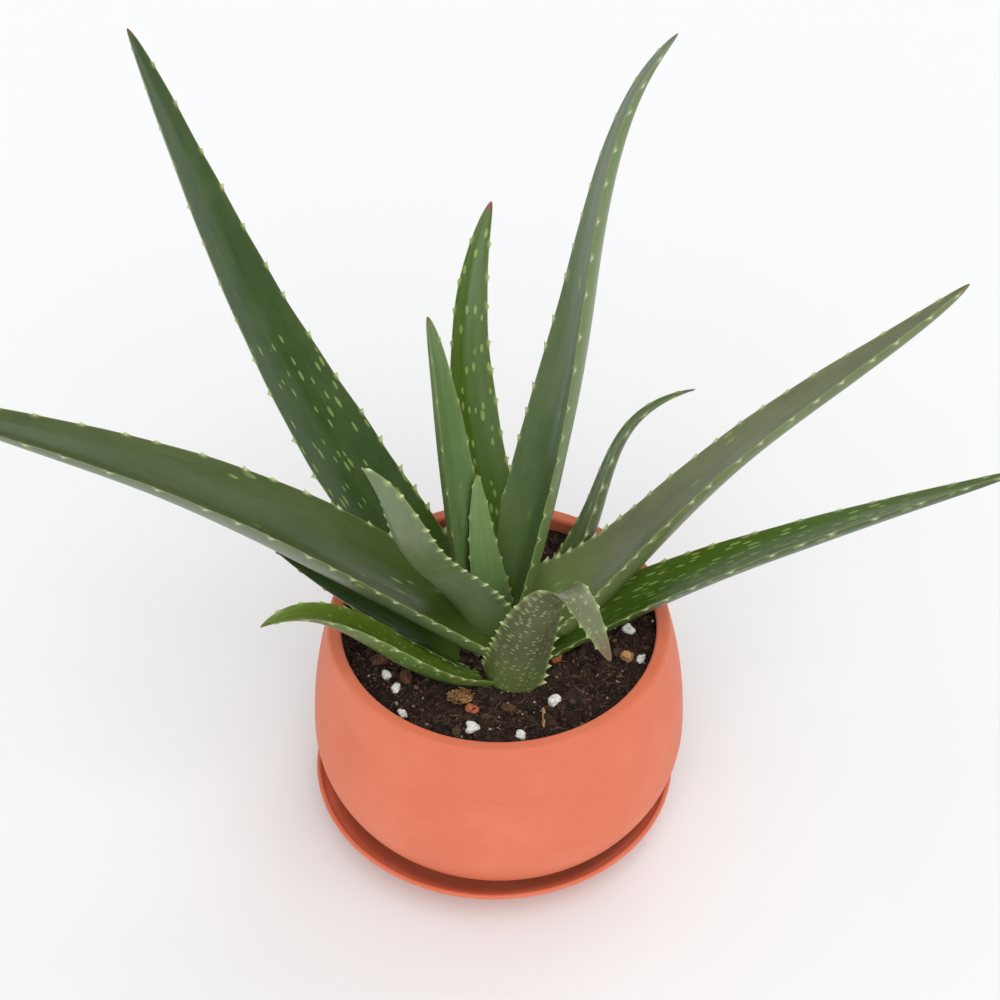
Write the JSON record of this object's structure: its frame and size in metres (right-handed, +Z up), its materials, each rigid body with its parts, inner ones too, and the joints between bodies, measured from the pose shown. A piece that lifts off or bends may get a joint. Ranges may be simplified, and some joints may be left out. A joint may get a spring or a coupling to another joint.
{
  "type": "potted aloe plant",
  "caption": "Young aloe with long toothed, pale-spotted succulent leaves, planted in potting mix in a round matte ceramic pot that stands on a shallow matching saucer.",
  "frame": {"origin": "on the pot's axis, at the underside of the saucer", "axes": "+Z up; -Y is the front, where the curled leaf hangs over the rim; +X to the right seen from the front, along the spread of the long side leaves"},
  "size_m": [0.469, 0.1869, 0.353],
  "materials": {
    "terracotta": "matte ceramic",
    "stem": "matt",
    "soil": "rough, crumbly",
    "leaf": "satin, waxy",
    "perlite": "rough, foamed mineral",
    "bark": "rough"
  },
  "bodies": {
    "root": {"saucer": "terracotta", "pot": "terracotta", "stem": "stem", "soil": "soil", "leaf_heart": "leaf", "leaf_inner_left": "leaf", "leaf_front": "leaf", "leaf_tall_right": "leaf", "leaf_back": "leaf", "leaf_tall_left": "leaf", "leaf_long_left": "leaf", "leaf_long_right": "leaf", "leaf_small_right": "leaf", "leaf_low_right": "leaf", "leaf_curled": "leaf", "leaf_low_left": "leaf", "leaf_under_left": "leaf", "perlite_1": "perlite", "perlite_2": "perlite", "perlite_3": "perlite", "perlite_4": "perlite", "perlite_5": "perlite", "perlite_6": "perlite", "perlite_7": "perlite", "perlite_8": "perlite", "bark_chip_1": "bark", "bark_chip_2": "bark", "bark_chip_3": "bark", "bark_chip_4": "bark", "bark_chip_5": "bark", "bark_chip_6": "bark", "straw": "bark", "fibre_tuft": "bark"}
  },
  "joints": []
}
